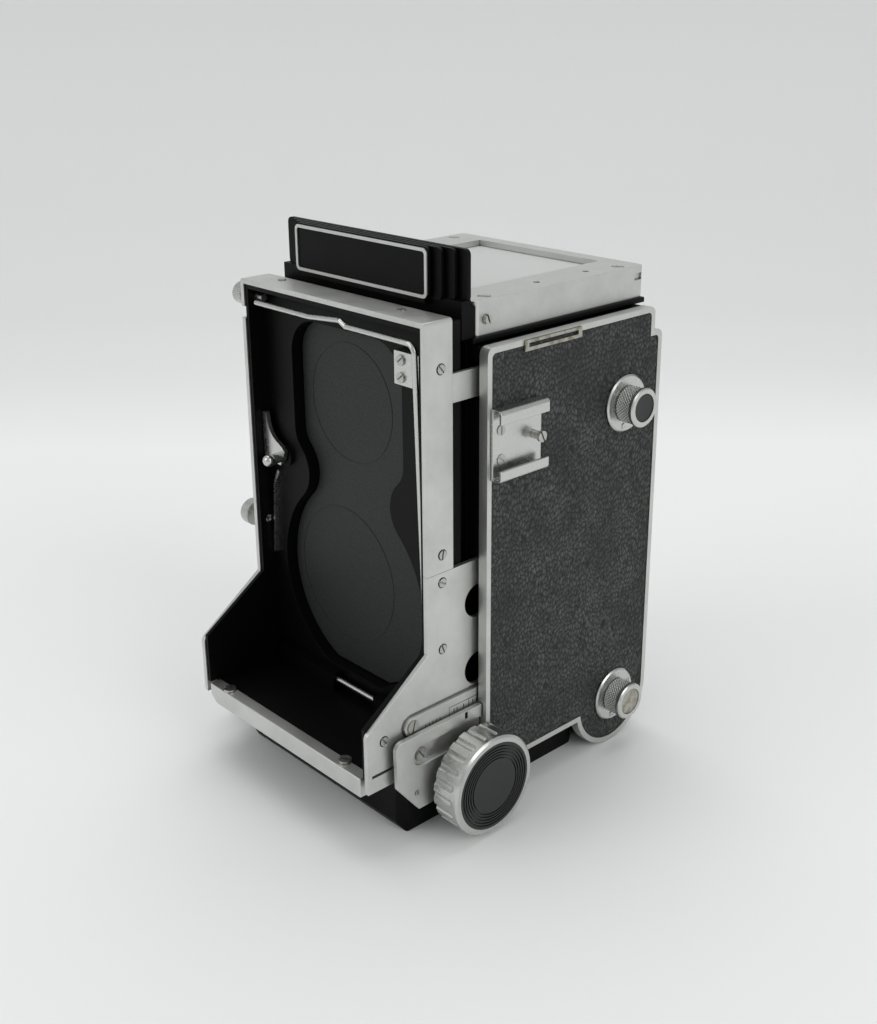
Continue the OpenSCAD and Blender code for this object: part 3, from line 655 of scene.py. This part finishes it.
class TLR_OT_leather(bpy.types.Operator):
    """Covers both sides and the rear door with pebbled leather cloth"""

    bl_idname = "tlr.leather"
    bl_label = "Cover with leatherette"

    def execute(self, context):
        settings = context.scene.tlr_cover
        notch = NOTCH_Y - settings.rim / MM
        for side, name in ((1, "right_leather_cloth"), (-1, "left_leather_cloth")):
            verts, faces, grains = [], [], []
            for y0, y1 in ((cover_front(settings), notch), (notch + 1e-3, cover_rear(settings))):
                grid, grain = pad_strip(y0, y1, settings, side)
                grains.append(grain.ravel())
                rows, cols = grid.shape[:2]
                quads = grid_faces(rows, cols, start=sum(len(v) for v in verts))
                verts.append(grid.reshape(-1, 3))
                faces.append(quads if side > 0 else quads[:, ::-1])
            cloth = new_mesh(name, np.concatenate(verts) * MM, np.concatenate(faces))
            store_pebble(cloth, np.concatenate(grains))
            wear(cloth, FINISHES["leatherette"])
            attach(cloth, "camera_body")
            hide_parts("side_leatherettes")
        low, high = box_mm("door_leatherette")
        step = settings.step / MM
        x = np.arange(low[0], high[0] + step, step)
        x = np.linspace(low[0], high[0], len(x))
        z = np.linspace(low[2], high[2], int((high[2] - low[2]) / step))
        xx, zz = np.meshgrid(x, z)
        edge = np.minimum.reduce([xx - low[0], high[0] - xx, zz - low[2], high[2] - zz])
        dip = np.exp(-edge / 0.35) * 0.3
        height = pebble(xx, zz, settings.cell / MM)
        yy = high[1] - 0.25 + height * settings.relief / MM - dip
        grid = np.stack([xx, yy, zz], -1)
        cloth = new_mesh("door_leather_cloth", grid.reshape(-1, 3) * MM,
                         grid_faces(*xx.shape)[:, ::-1])
        store_pebble(cloth, height)
        wear(cloth, FINISHES["leatherette"])
        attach(cloth, "rear_door")
        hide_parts("door_leatherette")
        return {"FINISHED"}


# ------------------------------------------------------------------- bellows

class TLR_OT_bellows(bpy.types.Operator):
    """Folds the bellows between the lens standard and the body"""

    bl_idname = "tlr.bellows"
    bl_label = "Fold bellows"

    def execute(self, context):
        """A rectangle with cut corners is swept from the standard to the body, and its size
        follows a triangle wave, so each pleat is one outward and one inward fold."""
        settings = context.scene.tlr_bellows
        low, high = box_mm("bellows")
        depth = settings.depth / MM
        count = settings.folds * 2 + 1
        wave = (np.arange(count) + 1) % 2
        y = np.linspace(low[1], high[1], count)
        cz = (low[2] + high[2]) / 2
        half_x, half_z = high[0] - 0.2, (high[2] - low[2]) / 2 - 0.2
        chamfer = 5.0
        corner = np.array([[1, 1 - chamfer / half_z], [1 - chamfer / half_x, 1]])
        ring = np.concatenate([corner, corner[::-1] * [-1, 1], -corner, corner[::-1] * [1, -1]])
        verts = []
        for yy, w in zip(y, wave):
            inset = depth * w
            pts = ring * [half_x - inset, half_z - inset]
            verts.append(np.column_stack([pts[:, 0], np.full(8, yy), pts[:, 1] + cz]))
        cloth = new_mesh("pleated_bellows", np.concatenate(verts) * MM,
                         grid_faces(count, 8, wrap=True), smooth=False)
        solid = cloth.modifiers.new("cloth thickness", "SOLIDIFY")
        solid.thickness = 0.35 * MM
        solid.offset = 0
        wear(cloth, FINISHES["bellows_cloth"])
        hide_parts("bellows")
        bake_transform(cloth)
        return {"FINISHED"}


# ------------------------------------------------------------ turned details

def turned_sleeve(name, centre, x0, x1, radius, height, count, lead, body, material):
    """A knurled sleeve about an axis along X.

    r(t, x) = radius + height * |sin(n t / 2 + k x) sin(n t / 2 - k x)|, with n crests round the
    sleeve and k set by lead, the slope of the cut: 0 gives straight ribs, 1 square diamonds.
    The two end rings turn in below the barrel, which closes the sleeve.
    """
    around = count * 8
    x = np.linspace(x0, x1, max(9, int(abs(x1 - x0) / 0.09)))
    t = np.linspace(0, 2 * math.pi, around, endpoint=False)
    k = lead * count / (2 * radius)
    phase = k * (x[:, None] - x0)
    wave = np.abs(np.sin(count * t / 2 + phase) * np.sin(count * t / 2 - phase))
    r = radius + height * np.minimum(wave * 1.6, 1.0)
    rim = np.full((1, around), radius - 0.3)
    r = np.concatenate([rim, r, rim])
    x = np.concatenate([x[:1], x, x[-1:]])
    grid = np.stack([np.broadcast_to(x[:, None], r.shape), centre[0] + r * np.cos(t),
                     centre[1] + r * np.sin(t)], -1)
    sleeve = new_mesh(name, grid.reshape(-1, 3) * MM, grid_faces(*r.shape, wrap=True))
    face_out(sleeve)
    wear(sleeve, material)
    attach(sleeve, body)
    return sleeve


def dished_disc(name, centre, x, radius, dish, body, material):
    """A shallow dished disc facing +X: x(r) = x0 - dish (1 - (r / radius)^2), closed behind."""
    t = np.linspace(0, 2 * math.pi, 64, endpoint=False)
    r = np.concatenate([np.linspace(0.02, radius, 12), [radius, 0.02]])
    depth = np.concatenate([x - dish * (1 - (np.linspace(0.02, radius, 12) / radius) ** 2),
                            [x - dish - 0.2] * 2])
    grid = np.stack([np.broadcast_to(depth[:, None], (len(r), 64)),
                     centre[0] + r[:, None] * np.cos(t), centre[1] + r[:, None] * np.sin(t)], -1)
    disc = new_mesh(name, grid.reshape(-1, 3) * MM, grid_faces(len(r), 64, wrap=True))
    face_out(disc)
    wear(disc, material)
    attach(disc, body)


class TLR_OT_turned(bpy.types.Operator):
    """Cuts the knurling and sets the caps of the small knobs"""

    bl_idname = "tlr.turned"
    bl_label = "Finish small knobs"

    def execute(self, context):
        for name, body, slot_name in (("upper_spool_knob", "upper_knob", "black_plastic"),
                                      ("lower_spool_knob", "lower_knob", "brass")):
            low, high = box_mm(name)
            centre = (low[1:] + high[1:]) / 2
            turned_sleeve(name + "_knurl", centre, high[0] - 6.1, high[0] - 1.4, 5.24, 0.34,
                          36, 0.9, body, FINISHES["knurl"])
            dished_disc(name + "_cap", centre, high[0] - 0.22, 4.28, 0.15, body,
                        FINISHES[slot_name])
        for name, body, x0, x1, radius, count in (
                ("bail_latch_knob", "bail_latch", 0.35, 3.9, 3.2, 36),
                ("release_button", "shutter_button", 0.5, 3.5, 4.0, 44)):
            low, high = box_mm(name)
            centre = (low[1:] + high[1:]) / 2
            turned_sleeve(name + "_knurl", centre, low[0] + x0, low[0] + x1, radius, 0.14,
                          count, 0.0, body, FINISHES["knurl"])
        return {"FINISHED"}


def filled_lines(name, x, boxes, body, material):
    """Thin filled strips on a face x facing +X; boxes are (y0, z0, y1, z1) in mm."""
    b = np.array(boxes, float)
    corner = np.stack([b[:, [0, 1]], b[:, [2, 1]], b[:, [2, 3]], b[:, [0, 3]]], 1)
    verts = np.concatenate([np.full((len(b), 4, 1), x), corner], -1).reshape(-1, 3)
    faces = np.arange(4 * len(b)).reshape(-1, 4)
    marks = new_mesh(name, verts * MM, faces, smooth=False)
    wear(marks, material)
    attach(marks, body)


class TLR_OT_marks(bpy.types.Operator):
    """Fills the engraved boxes and ticks of the distance strip and the index mark"""

    bl_idname = "tlr.marks"
    bl_label = "Fill engraved marks"

    def execute(self, context):
        low, high = box_mm("focus_scale")
        line, base = 0.16, low[2] + 0.35
        boxes = [(-23.2, base, high[1] - 0.3, base + line),
                 (-23.2, base, -23.2 + line, base + 3.1),
                 (-23.2, base + 3.0, high[1] - 0.3, base + 3.0 + line),
                 (-15.5, base, -15.5 + line, base + 3.1)]
        boxes += [(y, base + 0.9, y + 0.3, base + 2.2) for y in (-21.4, -20.2, -17.6, -13.9, -12.4)]
        boxes += [(y, base + 0.6, y + 0.22, base + 1.5)
                  for y in (-32.4, -31.0, -29.6, -28.2, -26.8)]
        filled_lines("distance_marks", high[0] + 0.015, boxes, "lens_standard",
                     FINISHES["black_paint"])
        bracket = box_mm("focus_brackets")[1][0]
        filled_lines("index_mark", bracket + 0.015, [(-19.0, 33.2, -17.9, 35.3)], "camera_body",
                     FINISHES["black_paint"])
        return {"FINISHED"}


# --------------------------------------------------------------------- stage

class TLR_OT_studio(bpy.types.Operator):
    """Lays the paper sweep, lights it and sets the camera"""

    bl_idname = "tlr.studio"
    bl_label = "Set up studio"

    def execute(self, context):
        settings = context.scene.tlr_studio
        azimuth, elevation, roll = settings.azimuth, settings.elevation, settings.roll
        back = np.array([math.sin(azimuth) * math.cos(elevation),
                         -math.cos(azimuth) * math.cos(elevation), math.sin(elevation)])
        side = np.array([math.cos(azimuth), math.sin(azimuth), 0.0])
        up = np.cross(back, side)
        right = math.cos(roll) * side + math.sin(roll) * up
        top = -math.sin(roll) * side + math.cos(roll) * up
        lens = bpy.data.cameras.new("camera")
        lens.sensor_width = 36
        lens.lens = settings.focal
        lens.shift_x, lens.shift_y = settings.shift
        lens.clip_start = 0.01
        viewer = bpy.data.objects.new("camera", lens)
        matrix = Matrix.Identity(4)
        for column, axis in enumerate((right, top, back)):
            for row in range(3):
                matrix[row][column] = axis[row]
        matrix.translation = Vector(settings.place)
        viewer.matrix_world = matrix
        context.scene.collection.objects.link(viewer)
        context.scene.camera = viewer

        # paper sweep: flat floor, a quarter turn, then a wall, across the viewing direction
        turn, reach, wall_top = settings.turn, settings.reach, settings.wall_top
        s = np.concatenate([np.linspace(-1.6, reach, 12),
                            reach + turn * np.sin(np.linspace(0.1, math.pi / 2, 24)),
                            [reach + turn] * 4])
        h = np.concatenate([np.zeros(12), turn * (1 - np.cos(np.linspace(0.1, math.pi / 2, 24))),
                            np.linspace(turn + 0.02, wall_top, 4)])
        w = np.linspace(-3, 3, 9)
        flat_back = np.array([math.sin(azimuth), -math.cos(azimuth), 0])
        grid = (-s[:, None, None] * flat_back + h[:, None, None] * np.array([0, 0, 1.0])
                + w[None, :, None] * side)
        grid[..., 2] -= 0.00005
        paper = new_mesh("paper_sweep", grid.reshape(-1, 3), grid_faces(len(s), len(w)))
        material, tree, shader = new_material("studio_paper", settings.paper, Roughness=0.85)
        # painted shade: the paper darkens from 0.25 m behind the object towards the wall, where less
        # light falls
        place = add(tree, "ShaderNodeTexCoord")
        behind = add(tree, "ShaderNodeVectorMath",
                     {0: place.outputs["Object"], 1: tuple(-flat_back)}, operation="DOT_PRODUCT")
        depth = add(tree, "ShaderNodeMapRange",
                    {"Value": behind.outputs["Value"], "From Min": 0.25, "From Max": 0.65})
        shade_ramp = add(tree, "ShaderNodeValToRGB", {"Fac": depth.outputs[0]})
        ramp = shade_ramp.color_ramp
        ramp.elements[0].position, ramp.elements[0].color = 0.1, linear(settings.paper)
        ramp.elements[1].color = linear("#e1e2e1")
        for place_on, tone in ((0.33, "#e6e7e6"), (0.5, "#dfe0df"), (0.65, "#dadbda"),
                               (0.87, "#dcdddc")):
            ramp.elements.new(place_on).color = linear(tone)
        tree.links.new(shade_ramp.outputs["Color"], shader.inputs["Base Color"])
        # seen from behind, the paper lets the view through to the object
        rear = add(tree, "ShaderNodeNewGeometry")
        through = add(tree, "ShaderNodeBsdfTransparent")
        either = add(tree, "ShaderNodeMixShader",
                     {0: rear.outputs["Backfacing"], 1: shader.outputs[0],
                      2: through.outputs[0]})
        tree.links.new(either.outputs[0], tree.nodes["Material Output"].inputs["Surface"])
        wear(paper, material)

        world = bpy.data.worlds.new("studio")
        world.use_nodes = True
        world.node_tree.nodes["Background"].inputs["Color"].default_value = linear("#f4f6f7")
        world.node_tree.nodes["Background"].inputs["Strength"].default_value = settings.fill
        context.scene.world = world
        for name, power, size, place, aim in (
                ("top_softbox", settings.top, 1.2, (-0.34, 0.31, 1.45), (0, 0, 0.0)),
                ("front_softbox", settings.front, 1.0, (-0.5, -1.2, 0.8), (0, 0, 0.08)),
                ("side_softbox", settings.side, 1.0, (1.3, 0.1, 0.75), (0, 0, 0.08))):
            light = bpy.data.lights.new(name, "AREA")
            light.energy = power
            light.size = size
            lamp = bpy.data.objects.new(name, light)
            lamp.location = place
            lamp.rotation_euler = (Vector(aim) - Vector(place)).to_track_quat("-Z", "Y").to_euler()
            context.scene.collection.objects.link(lamp)
        context.scene.view_settings.view_transform = "Standard"
        return {"FINISHED"}


# ------------------------------------------------------------------ the panel

class TLR_PT_panel(bpy.types.Panel):
    """Lists the steps that dress the camera"""

    bl_label = "TLR Camera"
    bl_idname = "TLR_PT_panel"
    bl_space_type = "VIEW_3D"
    bl_region_type = "UI"
    bl_category = "TLR Camera"

    def draw(self, context):
        for group in GROUPS:
            settings = getattr(context.scene, group)
            for key in settings.__annotations__:
                self.layout.prop(settings, key)
        for step in STEPS:
            self.layout.operator(step.bl_idname)


GROUPS = {"tlr_finish": FinishSettings, "tlr_cover": CoverSettings,
          "tlr_bellows": BellowsSettings, "tlr_studio": StudioSettings}
STEPS = (TLR_OT_finishes, TLR_OT_edges, TLR_OT_leather, TLR_OT_bellows, TLR_OT_turned,
         TLR_OT_marks, TLR_OT_studio)


def register():
    """Registers the settings, the operators and the panel."""
    for name, group in GROUPS.items():
        bpy.utils.register_class(group)
        setattr(bpy.types.Scene, name, bpy.props.PointerProperty(type=group))
    for step in STEPS + (TLR_PT_panel,):
        bpy.utils.register_class(step)


def unregister():
    """Takes back what register did."""
    for step in STEPS + (TLR_PT_panel,):
        bpy.utils.unregister_class(step)
    for name, group in GROUPS.items():
        delattr(bpy.types.Scene, name)
        bpy.utils.unregister_class(group)


def main():
    """Runs every step in order."""
    register()
    bpy.ops.tlr.finishes()
    bpy.ops.tlr.edges()
    bpy.ops.tlr.leather()
    bpy.ops.tlr.bellows()
    bpy.ops.tlr.turned()
    bpy.ops.tlr.marks()
    bpy.ops.tlr.studio()


if __name__ == "__main__":
    main()
